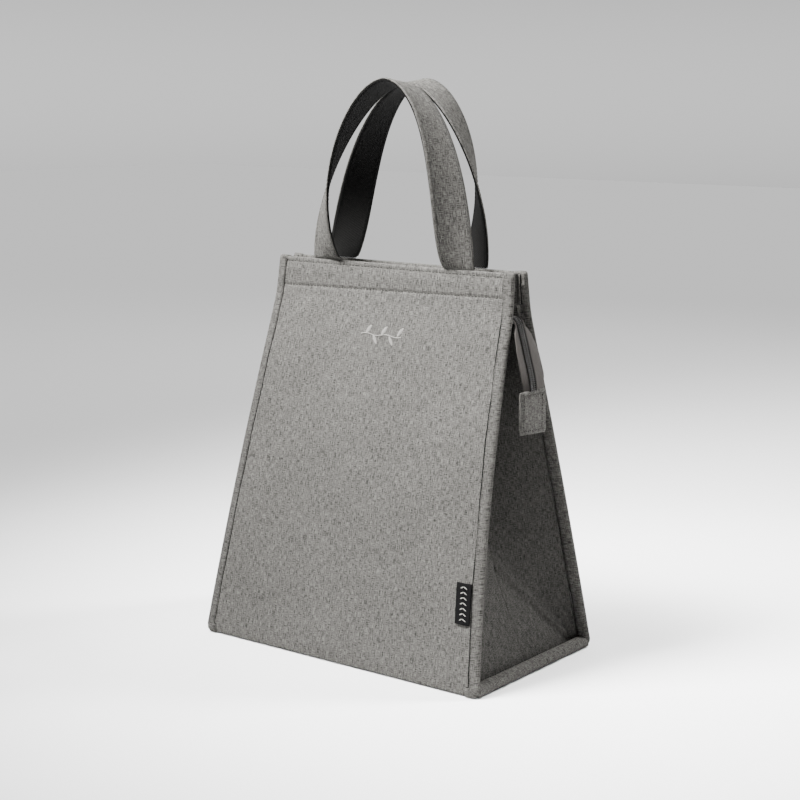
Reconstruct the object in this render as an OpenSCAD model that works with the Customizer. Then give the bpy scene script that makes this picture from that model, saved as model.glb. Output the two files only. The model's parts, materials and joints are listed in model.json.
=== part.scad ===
// Insulated lunch tote: a tapered cloth bag with a recessed zip, bound edges and two strap handles.
// Millimetres. +Z is up, the front faces -Y, and the origin is the middle of the base's underside.

/* [Bag] */
// Height of the panels, floor to top edge
bag_h = 285; // [275:1:295]
// Half the depth of the base, outside
base_half_d = 75.4; // [70:0.2:82]
// Half the depth across the top edges, outside
top_half_d = 9.6; // [9.6:0.1:12]
// Half the width of a panel at the floor
base_half_w = 125.9; // [115:0.1:135]
// Half the width of a panel at the top edge
top_half_w = 105.6; // [100:0.1:110]
// How far the panels stand out past the gussets
flange_w = 8; // [6:0.5:10]
// Height of the stiffened band round the mouth
band_h = 23; // [20:0.5:26]

/* [Layers] */
// Thickness of the outer cloth
cloth_t = 0.8; // [0.6:0.1:1]
// Thickness of the foam in the panels
foam_t = 2.4; // [2:0.1:3]
// Thickness of the foil lining
lining_t = 0.4; // [0.3:0.1:0.6]
// Thickness of the foam in the gussets
gusset_foam_t = 1.6; // [1.2:0.1:2]
// Thickness of the doubled lining in the gussets
gusset_lining_t = 0.6; // [0.6:0.1:0.8]
// Thickness of the stiff board under the base foam
board_t = 1.2; // [1:0.1:2]
// Width of the binding on each face of a flange
binding_w = 7; // [5:0.5:7.5]

/* [Gussets] */
// Height at which the two lower creases meet
crease_z = 76; // [60:1:90]
// Depth of the inward fold where the lower creases meet
crease_depth = 26; // [15:1:32]
// How much deeper the fold gets for each millimetre above that
crease_growth = 0.11; // [0.05:0.01:0.13]
// Height of the gussets' top edge
gusset_top_z = 246; // [235:1:248]

/* [Handles] */
// Width of the strap
strap_w = 26; // [22:1:28]
// Height of an arch above the top edge
arch_h = 130; // [110:1:150]
// Half the distance between the middles of a strap's two feet
arch_half_w = 59.7; // [50:0.5:70]
// How far the arches lean to the right at their top
arch_skew = 5.6; // [0:0.1:8]
// Thickness of the outer cloth of the strap
strap_cloth_t = 0.9; // [0.7:0.1:1.1]
// Thickness of the webbing inside the strap
strap_web_t = 1.3; // [1:0.1:1.6]

/* [Zip] */
// Height of the middle of the coil
zip_z = 253; // [251:0.5:254]
// Width of the closed coil
coil_w = 6; // [5:0.5:6.5]
// Thickness of the coil
coil_t = 2; // [1.8:0.1:2.2]
// Width of the closed zip, edge to edge
zip_w = 32; // [28:1:33]
// Where the slider is with the zip closed
slider_x = -88; // [-90:1:-80]
// Where the stretch that stays closed begins
zip_split_x = 66; // [60:1:68]
// Where the tail leaves the bag
tail_x = 100; // [99:0.5:101]
// Drop of the tail below the zip
tail_drop = 61; // [50:1:65]
// Reach of the tail past the place where it leaves
tail_reach = 18; // [14:1:20]

/* [Small parts] */
// Width of the cloth tab on the tail
tab_w = 32; // [30:1:36]
// Length of that tab
tab_h = 31; // [28:1:36]
// Width of the woven label
label_w = 12; // [10:1:16]
// Length of the woven label
label_h = 28; // [24:1:36]

/* [Hidden] */

// Gap between pieces of two bodies that only lie against each other
gap = 0.4;
// The same gap where a body moves straight away
hair = 0.3;
// Thickness of a zip tape
tape_t = 0.6;
// Thickness of a panel inside its flanges
wall_t = cloth_t + foam_t + lining_t;
// Thickness of a flange, with the binding on its inner face
flange_t = cloth_t + foam_t + cloth_t;
// Where the band begins
band_z = bag_h - band_h;
// Lower end of the handles' feet
foot_low_z = band_z + 8;
// Slope of the band, in millimetres of depth for each millimetre of height
band_slope = 0.1;
// Linear and square terms of the panels' lean
lean = 0.172;
bulge = 0.00029;
// How softly the lean turns into the band
band_blend = 1.5;
// Waist of a panel: how far its sides draw in half-way up
waist = 2.1;
// How far the bottom corners of a panel are rounded
corner_r = 5;
// Steps that the gussets are drawn with, upwards and across
gusset_steps = 13;
fold_steps = 12;
// Rings that a strap and the tail are drawn with
strap_rings = 44;
tail_rings = 16;
// How softly the gusset's folds turn
fold_soft = 0.16;
// Slider's length, width, plate thickness and the room that it leaves above and below the coil
slider_l = 12;
slider_w = 9;
plate_t = 1;
slider_room = 1.4;
// Half the width of the post between the slider's plates, and half the slot that the coil leaves for it
post_half = 0.6;
coil_split = 1;
// Length and width of the pull
pull_l = 24;
pull_w = 7;

// Colours
heather = [0.52, 0.52, 0.50];
heather_dark = [0.42, 0.42, 0.40];
black_web = [0.08, 0.08, 0.08];
tape_grey = [0.60, 0.58, 0.57];
coil_grey = [0.20, 0.20, 0.20];
foil = [0.80, 0.81, 0.83];
foam_white = [0.93, 0.93, 0.92];
metal = [0.55, 0.55, 0.57];

// Larger of a and b, rounded where they meet
function soft_max(a, b, k) = (a + b + sqrt(pow(a - b, 2) + k * k)) / 2;

// Half the depth of the bag, outside, at height z
function half_depth(z) = soft_max(
    base_half_d - lean * z - bulge * z * z,
    top_half_d - 0.2 + band_slope * (bag_h - z),
    band_blend);

// Half the width of a panel at height z: straight, with a slight waist
function half_width(z) =
    base_half_w + (top_half_w - base_half_w) * z / bag_h - 4 * waist * z * (bag_h - z) / pow(bag_h, 2);

// The same two, straight between levels that every layer shares
depth_levels = concat([for (i = [0:15]) 16 * i], [246, 250, 254, 258, 262, 266, 270, 278, bag_h + 1]);
width_levels = [for (i = [0:8]) (bag_h + 1) * i / 8];
depth_table = [for (z = depth_levels) [z, half_depth(z)]];
width_table = [for (z = width_levels) [z, half_width(z)]];

// Half the opening between the panels' inner faces, as the gussets see it
function gusset_half_d(z) = half_depth(z) - flange_t - gap;

// Depth of a gusset's fold at height z
function fold_depth(z) = z < crease_z
    ? crease_depth * z / crease_z
    : crease_depth + crease_growth * (z - crease_z);

// Share of that depth at s, which is 0 at the middle crease and 1 at the flange
function fold_share(s, z) =
    let (flat = max(0, 1 - z / crease_z) * 0.98, low = soft_max(-flat, 0, fold_soft))
    1 - (soft_max(s - flat, 0, fold_soft) - low) / (soft_max(1 - flat, 0, fold_soft) - low);

// x of a gusset's surface, t under its outer face
function gusset_x(s, z, t) =
    let (steep = sqrt(1 + pow(fold_depth(z) / gusset_half_d(z), 2)))
    half_width(z) - flange_w - fold_depth(z) * fold_share(abs(s), z) - t * steep;

// Even steps from a to b
function steps(a, b, n) = [for (i = [0:n]) a + (b - a) * i / n];

// One row of a gusset as a closed ring, between depths t0 and t1 under its outer face
function gusset_ring(z, t0, t1) = concat(
    [for (s = steps(-1, 1, fold_steps)) [gusset_x(s, z, t0), s * gusset_half_d(z), z]],
    [for (s = steps(1, -1, fold_steps)) [gusset_x(s, z, t1), s * gusset_half_d(z), z]]);

// A closed solid through rings that turn left about their way and have one even number of points,
// there and back along a band
module loft(rings) {
    n = len(rings[0]);
    m = len(rings);
    points = [for (ring = rings) for (p = ring) p];
    sides = [
        for (i = [0:m - 2]) for (j = [0:n - 1]) for (k = [0, 1])
            let (a = i * n + j, b = i * n + (j + 1) % n)
            j < n / 2
                ? (k == 0 ? [a, b + n, b] : [a, a + n, b + n])
                : (k == 0 ? [a, a + n, b] : [b, a + n, b + n])
    ];
    caps = [
        for (j = [0:n / 2 - 2]) for (top = [0, 1])
            let (o = top * (m - 1) * n, quad = [j, j + 1, n - 2 - j, n - 1 - j])
            top == 0 ? quad : [for (k = [3:-1:0]) o + quad[k]]
    ];
    polyhedron(points = points, faces = concat(sides, caps), convexity = 6);
}

// The levels from z0 to z1, with both ends
function levels_between(levels, z0, z1) = concat([z0], [for (z = levels) if (z > z0 && z < z1) z], [z1]);

// The space between depths t0 and t1 under the front panel's outer face, from z0 to z1
module front_layer(z0, z1, t0, t1, reach = 140) {
    zs = levels_between(depth_levels, z0, z1);
    outline = concat(
        [for (z = zs) [t0 - lookup(z, depth_table), z]],
        [for (i = [len(zs) - 1:-1:0]) [t1 - lookup(zs[i], depth_table), zs[i]]]);
    translate([-reach, 0, 0]) rotate([90, 0, 90]) linear_extrude(2 * reach) polygon(outline);
}

// The outline of a panel, drawn in by inset at its sides, with round bottom corners
module panel_outline(z0, z1, inset) {
    zs = levels_between(width_levels, z0, z1);
    intersection() {
        polygon(concat(
            [for (z = zs) [lookup(z, width_table) - inset, z]],
            [for (i = [len(zs) - 1:-1:0]) [inset - lookup(zs[i], width_table), zs[i]]]));
        union() {
            for (side = [-1, 1])
                translate([side * (base_half_w - inset - corner_r), corner_r]) circle(r = corner_r, $fn = 48);
            translate([-base_half_w + inset + corner_r, 0])
                square([2 * (base_half_w - inset - corner_r), corner_r]);
            translate([-base_half_w, corner_r]) square([2 * base_half_w, bag_h]);
        }
    }
}

// That outline as a block right through the front half
module panel_block(z0, z1, inset) {
    rotate([90, 0, 0]) linear_extrude(100) panel_outline(z0, z1, inset);
}

// A layer of the front panel
module front_sheet(z0, z1, t0, t1, inset) {
    intersection() {
        front_layer(z0, z1, t0, t1);
        panel_block(z0, z1, inset);
    }
}

module mirrored_to_back() {
    mirror([0, 1, 0]) children();
}

// ---- panels ----

module panel_cloth() {
    front_sheet(0, bag_h, 0, cloth_t, 0);
}

module panel_foam() {
    front_sheet(1, band_z, cloth_t, cloth_t + foam_t, 0);
}

module panel_lining() {
    front_sheet(2, band_z, cloth_t + foam_t, wall_t, binding_w);
}

module panel_facing() {
    front_sheet(band_z, bag_h, cloth_t + 1.6, cloth_t + 2.4, binding_w);
}

module panel_stiffener() {
    difference() {
        front_sheet(band_z + 3, bag_h - 3, cloth_t, cloth_t + 1.5, 12);
        for (side = [-1, 1])
            translate([side * arch_half_w - strap_w / 2 - 1, -60, foot_low_z - 1])
                cube([strap_w + 2, 60, 60]);
    }
}

// Binding of the right flange: a channel of cloth folded over the edge
module right_binding() {
    difference() {
        intersection() {
            front_layer(0, bag_h, -cloth_t, flange_t);
            difference() {
                panel_block(0, bag_h, -cloth_t);
                panel_block(-1, bag_h + 1, binding_w);
                translate([-200, -150, -1]) cube([200, 200, bag_h + 20]);
            }
        }
        intersection() {
            front_layer(-1, bag_h + 1, 0, cloth_t + foam_t);
            panel_block(-1, bag_h + 1, 0);
        }
    }
}

module left_binding() {
    mirror([1, 0, 0]) right_binding();
}

// ---- base ----

module base_slab(z0, z1, half_w, half_d) {
    translate([-half_w, -half_d, z0]) cube([2 * half_w, 2 * half_d, z1 - z0]);
}

inner_half_d = half_depth(6) - flange_t - gap;
base_foam_top = cloth_t + board_t + foam_t;

module base_cloth() {
    color(heather) base_slab(0, cloth_t, base_half_w - cloth_t, inner_half_d);
}

module base_board() {
    color(black_web) base_slab(cloth_t, cloth_t + board_t, base_half_w - flange_w - 2, inner_half_d - 2);
}

module base_foam() {
    color(foam_white) difference() {
        base_slab(cloth_t, base_foam_top, base_half_w - cloth_t, inner_half_d);
        base_slab(cloth_t, cloth_t + board_t, base_half_w - flange_w - 2, inner_half_d - 2);
    }
}

module base_lining() {
    color(foil) base_slab(
        base_foam_top, base_foam_top + lining_t,
        base_half_w - flange_w - wall_t - 1.6, inner_half_d);
}

// Binding of the base's right flange
module right_base_binding() {
    edge_x = base_half_w - cloth_t;
    top_z = base_foam_top;
    color(heather_dark) translate([edge_x - binding_w, -inner_half_d, 0]) {
        translate([0, 0, top_z]) cube([binding_w + cloth_t, 2 * inner_half_d, cloth_t]);
        translate([binding_w, 0, 0]) cube([cloth_t, 2 * inner_half_d, top_z]);
    }
}

// ---- gussets ----

module gusset_layer(t0, t1) {
    loft([for (z = steps(base_foam_top, gusset_top_z, gusset_steps)) gusset_ring(z, t0, t1)]);
}

module right_gusset_cloth() {
    color(heather_dark) gusset_layer(0, cloth_t);
}

module right_gusset_foam() {
    color(foam_white) gusset_layer(cloth_t, cloth_t + gusset_foam_t);
}

module right_gusset_lining() {
    color(foil) gusset_layer(cloth_t + gusset_foam_t, cloth_t + gusset_foam_t + gusset_lining_t);
}

// Short strip of doubled cloth across the end of the mouth, over the zip
module right_mouth_strip() {
    strip_t = 2 * cloth_t;
    low_z = band_z;
    bow = 2.5;
    function ring(z) = concat(
        [for (s = steps(-1, 1, 6)) [tail_x + bow * s * s, s * (gusset_half_d(z)), z]],
        [for (s = steps(1, -1, 6)) [tail_x + bow * s * s - strip_t, s * (gusset_half_d(z)), z]]);
    color(heather_dark) loft([for (z = steps(low_z, bag_h - 0.5, 4)) ring(z)]);
}

// ---- zip ----

module box(x0, x1, y0, y1, z0, z1) {
    translate([x0, y0, z0]) cube([x1 - x0, y1 - y0, z1 - z0]);
}

// Tape of the front half: sewn flat to the lining, then turned in to the coil
module zip_tape() {
    x0 = slider_x - 8;
    seam_top = band_z - 1;
    intersection() {
        front_layer(zip_z - tape_t / 2, seam_top, wall_t, wall_t + tape_t);
        box(x0, zip_split_x, -40, 0, zip_z - tape_t / 2, seam_top);
    }
    box(x0, zip_split_x, -(half_depth(zip_z + tape_t) - wall_t - tape_t), -coil_w / 2,
        zip_z - tape_t / 2, zip_z + tape_t / 2);
}

module half_coil() {
    box(slider_x, zip_split_x, -coil_w / 2, -coil_split, zip_z - coil_t / 2, zip_z + coil_t / 2);
}

module top_stop() {
    box(slider_x - 8, slider_x - 6.5, -coil_w / 2, -1.4, zip_z - coil_t / 2, zip_z + coil_t / 2);
}

exit_half_w = 8.4;
exit_start_x = zip_split_x + gap;
exit_end_x = tail_x - hair;

module zip_exit_tapes() {
    color(tape_grey) for (side = [0, 1]) mirror([0, side, 0])
        box(exit_start_x, exit_end_x, -exit_half_w, -coil_w / 2,
            zip_z - tape_t / 2, zip_z + tape_t / 2);
}

module zip_exit_coil() {
    color(coil_grey)
        box(exit_start_x, exit_end_x, -coil_w / 2, coil_w / 2, zip_z - coil_t / 2, zip_z + coil_t / 2);
}

// Middle line of the tail: a quarter of an ellipse from level to hanging
function tail_point(a) = [tail_x + hair + tail_reach * sin(a), zip_z - tail_drop * (1 - cos(a))];
function tail_normal(a) =
    let (d = [tail_reach * cos(a), -tail_drop * sin(a)], l = norm(d))
    [-d[1] / l, d[0] / l];
// Half the width of the tail: narrow between the flanges, full below them
function tail_half_w(a) =
    exit_half_w + (zip_w / 2 - exit_half_w) * pow(sin(min(90, max(0, a - 22) * 2.2)), 2);

function tail_ring(a, y0, y1, t) =
    let (p = tail_point(a), n = tail_normal(a) * t / 2)
    [[p[0] + n[0], y1, p[1] + n[1]], [p[0] + n[0], y0, p[1] + n[1]],
     [p[0] - n[0], y0, p[1] - n[1]], [p[0] - n[0], y1, p[1] - n[1]]];

tail_end_a = 82;

module tail_tapes() {
    color(tape_grey) for (side = [0, 1]) mirror([0, side, 0])
        loft([for (a = steps(0, tail_end_a, tail_rings)) tail_ring(a, coil_w / 2, tail_half_w(a), tape_t)]);
}

module tail_coil() {
    color(coil_grey)
        loft([for (a = steps(0, tail_end_a, tail_rings)) tail_ring(a, -coil_w / 2, coil_w / 2, coil_t)]);
}

tail_end = tail_point(tail_end_a);

// Cloth folded over the end of the tail and sewn round
module tail_tab() {
    tab_t = 3.2;
    color(heather) difference() {
        translate([tail_end[0] - tab_t / 2, -tab_w / 2, tail_end[1] + 3 - tab_h])
            cube([tab_t, tab_w, tab_h]);
        translate([tail_end[0] - 1.2, -tab_w / 2 - 1, tail_end[1] - 5]) cube([2.4, tab_w + 2, 20]);
    }
}

module tail_bottom_stop() {
    color(metal) translate([tail_end[0] - 1.1, -coil_w / 2, tail_end[1] - 4.5])
        cube([2.2, coil_w, 3.5]);
}

module slider() {
    low_z = zip_z - coil_t / 2 - slider_room - plate_t;
    high_z = zip_z + coil_t / 2 + slider_room;
    x0 = slider_x - slider_l / 2;
    color(metal) {
        translate([slider_x, 0, low_z]) slider_plate();
        translate([slider_x, 0, high_z]) slider_plate();
        box(x0, x0 + 3, -post_half, post_half, low_z, high_z + plate_t);
        difference() {
            box(slider_x - 3, slider_x + 3, -1.2, 1.2, high_z + plate_t, high_z + plate_t + 2.4);
            translate([slider_x, 2, high_z + plate_t + 0.9]) rotate([90, 0, 0])
                cylinder(r = 0.75, h = 4, $fn = 24);
        }
    }
}

// Plate of the slider, narrower at the end where the closed zip leaves
module slider_plate() {
    linear_extrude(plate_t) polygon([
        [-slider_l / 2, -slider_w / 2], [slider_l / 2, -slider_w / 2 + 1.5],
        [slider_l / 2, slider_w / 2 - 1.5], [-slider_l / 2, slider_w / 2]]);
}

pull_z = zip_z + coil_t / 2 + slider_room + plate_t + 0.9;
pull_t = 1.2;

// Pull: a pin through the slider's bridge, two arms and a plate with an eye
module slider_pull() {
    color(metal) {
        translate([slider_x, pull_w / 2, pull_z]) rotate([90, 0, 0]) cylinder(r = 0.6, h = pull_w, $fn = 24);
        for (side = [-1, 1])
            box(slider_x - 0.6, slider_x + 8, side > 0 ? pull_w / 2 - 1.6 : -pull_w / 2,
                side > 0 ? pull_w / 2 : -pull_w / 2 + 1.6, pull_z - pull_t / 2, pull_z + pull_t / 2);
        difference() {
            box(slider_x + 6, slider_x + pull_l, -pull_w / 2, pull_w / 2,
                pull_z - pull_t / 2, pull_z + pull_t / 2);
            translate([slider_x + pull_l - 4, 0, pull_z - 2]) cylinder(r = 1.6, h = 4, $fn = 24);
        }
    }
}

// ---- handles ----

strap_t = strap_cloth_t + strap_web_t;
// Depth at which a strap's middle line leaves the top edge, and at its top
foot_y = -(top_half_d - cloth_t - strap_t / 2 + 0.3);
crown_y = -(strap_w / 2 + 0.45);
foot_z = bag_h + hair;
// How far a strap bows out between its feet and its top
strap_bow = 8;

// Middle line of the front arch: a runs from 0 at the right foot to 180 at the left one
function arch_point(a) =
    let (s = sin(a), lift = pow(s, 0.7))
    [sign(cos(a)) * arch_half_w * pow(abs(cos(a)), 1.11) + arch_skew * s,
     foot_y + (crown_y - foot_y) * s - strap_bow * sin(180 * lift),
     foot_z + arch_h * s];

// Turn of the strap about its middle line
function arch_twist(a) = 97 * pow(sin(a), 0.7);

function unit(v) = v / norm(v);
function strap_along(a) = unit(arch_point(min(180, a + 0.5)) - arch_point(max(0, a - 0.5)));

// Direction of the strap's width, from its inner edge to its outer one
function strap_across(a) =
    let (t = a < 1 ? [0, 0, 1] : a > 179 ? [0, 0, -1] : strap_along(a),
         y = [0, 1, 0],
         n = unit(y - t * (t * y)),
         b = cross(n, t))
    b * cos(arch_twist(a)) + n * sin(arch_twist(a));

// Ring of the strap between depths t0 and t1 under its outer face
function strap_ring(a, t0, t1) =
    let (p = arch_point(a),
         w = strap_across(a),
         t = a < 1 ? [0, 0, 1] : a > 179 ? [0, 0, -1] : strap_along(a),
         g = unit(cross(w, t)),
         h = w * strap_w / 2,
         o0 = g * (strap_t / 2 - t0),
         o1 = g * (strap_t / 2 - t1))
    [p - h + o0, p + h + o0, p + h + o1, p - h + o1];

// Angles that crowd towards the feet, where the strap turns fastest
function strap_angles() = [
    for (u = steps(-1, 1, strap_rings)) 90 + 90 * sign(u) * (1 - pow(1 - abs(u), 1.5))];

module strap_layer(t0, t1) {
    loft([for (a = strap_angles()) strap_ring(a, t0, t1)]);
}

module handle_cloth() {
    strap_layer(0, strap_cloth_t);
}

module handle_webbing() {
    strap_layer(strap_cloth_t, strap_t);
}

// Ends of the strap, sewn into the band between its cloth and its facing, in the stiffener's notches
module handle_feet() {
    for (side = [-1, 1])
        intersection() {
            front_layer(foot_low_z, bag_h, cloth_t, cloth_t + 1.5);
            translate([side * arch_half_w - strap_w / 2, -60, foot_low_z]) cube([strap_w, 60, 60]);
        }
}

// ---- trim ----

// Small raised sprig of five stitched leaves in place of a mark
module front_motif() {
    leaf_z = 234;
    color(foam_white) intersection() {
        front_layer(leaf_z - 12, leaf_z + 12, -0.5, 0);
        rotate([90, 0, 0]) translate([0, leaf_z, 20]) linear_extrude(60) {
            square([36, 0.9], center = true);
            for (i = [-2:2])
                translate([i * 7.2, 0]) rotate(i % 2 == 0 ? 55 : -55) translate([3.6, 0]) leaf();
        }
    }
}

module leaf() {
    intersection() {
        translate([0, 6]) circle(r = 7.4, $fn = 60);
        translate([0, -6]) circle(r = 7.4, $fn = 60);
    }
}

label_z = 48;
label_t = 0.9;
label_air = 0.2;

// Woven label, caught by one edge in the right binding's seam
module side_label() {
    color(black_web) intersection() {
        front_layer(label_z, label_z + label_h, -label_air - label_t, -label_air);
        rotate([90, 0, 0]) linear_extrude(100) polygon([
            for (p = [[1, 0], [0, 0], [0, 1], [1, 1]])
                let (z = label_z + p[1] * label_h)
                [half_width(z) - binding_w - gap - p[0] * label_w, z]]);
    }
}

base_cloth();
base_board();
base_foam();
base_lining();
mirror([1, 0, 0]) right_base_binding();  // left_base_binding
right_base_binding();
mirror([1, 0, 0]) right_gusset_cloth();  // left_gusset_cloth
mirror([1, 0, 0]) right_gusset_foam();  // left_gusset_foam
mirror([1, 0, 0]) right_gusset_lining();  // left_gusset_lining
right_gusset_cloth();
right_gusset_foam();
right_gusset_lining();
mirror([1, 0, 0]) right_mouth_strip();  // left_mouth_strip
right_mouth_strip();
zip_exit_tapes();
zip_exit_coil();
color(heather) panel_cloth();  // front_cloth
color(foam_white) panel_foam();  // front_foam
color(foil) panel_lining();  // front_lining
color(heather_dark) panel_facing();  // front_facing
color(black_web) panel_stiffener();  // front_stiffener
color(heather) left_binding();  // front_left_binding
color(heather) right_binding();  // front_right_binding
color(tape_grey) zip_tape();  // front_zip_tape
color(coil_grey) half_coil();  // front_coil
color(metal) top_stop();  // front_top_stop
color(heather) handle_feet();  // front_handle_feet
front_motif();
color(heather) mirrored_to_back() panel_cloth();  // back_cloth
color(foam_white) mirrored_to_back() panel_foam();  // back_foam
color(foil) mirrored_to_back() panel_lining();  // back_lining
color(heather_dark) mirrored_to_back() panel_facing();  // back_facing
color(black_web) mirrored_to_back() panel_stiffener();  // back_stiffener
color(heather) mirrored_to_back() left_binding();  // back_left_binding
color(heather) mirrored_to_back() right_binding();  // back_right_binding
color(tape_grey) mirrored_to_back() zip_tape();  // back_zip_tape
color(coil_grey) mirrored_to_back() half_coil();  // back_coil
color(metal) mirrored_to_back() top_stop();  // back_top_stop
color(heather) mirrored_to_back() handle_feet();  // back_handle_feet
color(heather) handle_cloth();  // front_handle_cloth
color(black_web) handle_webbing();  // front_handle_webbing
color(heather) mirrored_to_back() handle_cloth();  // back_handle_cloth
color(black_web) mirrored_to_back() handle_webbing();  // back_handle_webbing
slider();
slider_pull();
tail_tapes();
tail_coil();
tail_bottom_stop();
tail_tab();
side_label();
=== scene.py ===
"""Looks of the insulated lunch tote: cloth, bindings, zip and handles over the CAD nodes.

Metres, +Z up, front faces -Y. Shapes are worked out in millimetres.
"""
import json
import math

import bpy
import numpy as np
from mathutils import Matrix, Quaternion, Vector

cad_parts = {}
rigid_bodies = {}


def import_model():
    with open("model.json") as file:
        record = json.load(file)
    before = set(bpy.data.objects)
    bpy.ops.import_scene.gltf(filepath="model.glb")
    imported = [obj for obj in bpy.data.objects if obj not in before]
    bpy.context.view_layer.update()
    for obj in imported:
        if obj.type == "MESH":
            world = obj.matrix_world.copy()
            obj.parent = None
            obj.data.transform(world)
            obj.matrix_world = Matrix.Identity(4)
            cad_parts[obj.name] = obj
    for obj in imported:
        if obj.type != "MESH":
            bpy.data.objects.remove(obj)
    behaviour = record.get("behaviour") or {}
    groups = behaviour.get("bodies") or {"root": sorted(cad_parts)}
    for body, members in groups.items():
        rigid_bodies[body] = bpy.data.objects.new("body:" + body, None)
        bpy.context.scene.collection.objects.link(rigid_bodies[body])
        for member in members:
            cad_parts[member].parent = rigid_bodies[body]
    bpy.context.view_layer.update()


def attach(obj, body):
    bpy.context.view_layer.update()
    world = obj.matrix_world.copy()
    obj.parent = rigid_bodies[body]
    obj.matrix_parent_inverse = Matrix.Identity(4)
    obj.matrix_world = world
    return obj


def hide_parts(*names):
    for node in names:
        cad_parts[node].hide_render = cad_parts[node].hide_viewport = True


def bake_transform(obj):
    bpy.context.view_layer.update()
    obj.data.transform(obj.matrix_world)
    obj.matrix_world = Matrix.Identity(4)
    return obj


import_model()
MM = 0.001

# ---------------------------------------------------------------- shape of the bag, in millimetres
BAG_H = 285.0
BAND_Z = 262.0
CLOTH, FOAM, LINING = 0.8, 2.4, 0.4
WALL = CLOTH + FOAM + LINING
FLANGE_T = CLOTH + FOAM + CLOTH
FLANGE_W = 8.0
BINDING_W = 6.6
CORNER_R = 6.0
TOP_SEAM_Z = 281.6
GAP = 0.4


def soft_max(a, b, k):
    return (a + b + np.sqrt((a - b) ** 2 + k * k)) / 2


def half_depth(z):
    return soft_max(75.4 - 0.172 * z - 0.00029 * z * z, 9.4 + 0.1 * (BAG_H - z), 1.5)


def half_width(z):
    return 125.9 - 20.3 * z / BAG_H - 8.4 * z * (BAG_H - z) / BAG_H**2


def wander(a, b, seed, size, octaves=3):
    """Smooth pseudo-random waves of a and b, in millimetres, about -1 to 1."""
    r = np.random.default_rng(int(seed))
    total = np.zeros(np.broadcast(a, b).shape)
    for k in range(octaves):
        for _ in range(4):
            angle = r.uniform(0, 2 * np.pi)
            wave = 2 * np.pi / (size / 1.7**k) * r.uniform(0.7, 1.3)
            total += np.sin((a * np.cos(angle) + b * np.sin(angle)) * wave + r.uniform(0, 6.28)) / 1.6**k
    return total / 4.2


# ---------------------------------------------------------------- meshes
def make_object(name, verts, faces, uvs, material, smooth=True):
    """Mesh object from millimetres; uvs holds one metre pair for each face corner."""
    mesh = bpy.data.meshes.new(name)
    verts = np.asarray(verts, float).reshape(-1, 3) * MM
    mesh.from_pydata(verts.tolist(), [], [list(map(int, f)) for f in faces])
    layer = mesh.uv_layers.new(name="UVMap")
    layer.data.foreach_set("uv", np.asarray(uvs, np.float32).ravel())
    mesh.polygons.foreach_set("use_smooth", np.full(len(mesh.polygons), smooth))
    mesh.materials.append(material)
    mesh.validate()
    mesh.update()
    obj = bpy.data.objects.new(name, mesh)
    bpy.context.scene.collection.objects.link(obj)
    return obj


def lengths(points, axis):
    steps = np.linalg.norm(np.diff(points, axis=axis), axis=-1)
    return np.concatenate([np.zeros_like(steps.take([0], axis)), np.cumsum(steps, axis)], axis)


flat_sizes = {}


def shell(name, grid, thickness, material, uv=None, flip=False):
    """Closed sheet: a grid of points (m, n, 3) given thickness against its normals."""
    grid = np.asarray(grid, float)
    diagonals = np.cross(grid[1:, 1:] - grid[:-1, :-1], grid[:-1, 1:] - grid[1:, :-1])
    area = np.linalg.norm(diagonals, axis=-1).sum() / 2
    flat_sizes[name] = (lengths(grid, 0)[-1].max() * MM, lengths(grid, 1)[:, -1].max() * MM, area * MM * MM)
    m, n = grid.shape[:2]
    du = np.gradient(grid, axis=0)
    dv = np.gradient(grid, axis=1)
    normal = np.cross(du, dv)
    normal /= np.linalg.norm(normal, axis=-1, keepdims=True) + 1e-12
    if flip:
        normal = -normal
    inner = grid - normal * thickness
    if uv is None:
        uv = np.stack([lengths(grid, 0), lengths(grid, 1)], -1)
    uv = np.asarray(uv, float) * MM
    verts = np.concatenate([grid.reshape(-1, 3), inner.reshape(-1, 3)])
    uvv = np.concatenate([uv.reshape(-1, 2), uv.reshape(-1, 2)])
    k = np.arange(m * n).reshape(m, n)
    a, b, c, d = k[:-1, :-1].ravel(), k[1:, :-1].ravel(), k[1:, 1:].ravel(), k[:-1, 1:].ravel()
    top = np.stack([a, b, c, d], 1)
    low = np.stack([d, c, b, a], 1) + m * n
    rim = np.concatenate([k[0, :], k[1:, -1], k[-1, -2::-1], k[-2:0:-1, 0]])
    nxt = np.roll(rim, -1)
    side = np.stack([rim, nxt, nxt + m * n, rim + m * n], 1)
    faces = np.concatenate([top, low, side])
    if flip:
        faces = faces[:, ::-1]
    return make_object(name, verts, faces, uvv[faces.ravel()], material)


def cloth_piece(piece):
    """Works out the size that a sheet's grid unrolls to; the result is not kept."""
    width, length, area = flat_sizes[piece.name]
    min(area, width * length)


def loft(name, rings, material):
    """Closed tube through rings of points (m, n, 3)."""
    rings = np.asarray(rings, float)
    m, n = rings.shape[:2]
    closed = np.concatenate([rings, rings[:, :1]], 1)
    around = lengths(closed, 1)
    around = np.broadcast_to(around[m // 2], around.shape)
    along = lengths(rings.mean(1), 0)[:, None] * np.ones((1, n + 1))
    uv = np.stack([around, along], -1) * MM
    i, j = np.meshgrid(np.arange(m - 1), np.arange(n), indexing="ij")
    i, j = i.ravel(), j.ravel()
    k = (j + 1) % n
    faces = np.stack([i * n + j, i * n + k, (i + 1) * n + k, (i + 1) * n + j], 1)
    corner = np.stack([uv[i, j], uv[i, j + 1], uv[i + 1, j + 1], uv[i + 1, j]], 1).reshape(-1, 2)
    caps = [list(range(n - 1, -1, -1)), [(m - 1) * n + q for q in range(n)]]
    corners = np.concatenate([corner, uv[0, :n][::-1], uv[m - 1, :n]])
    return make_object(name, rings.reshape(-1, 3), faces.tolist() + caps, corners, material)


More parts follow.
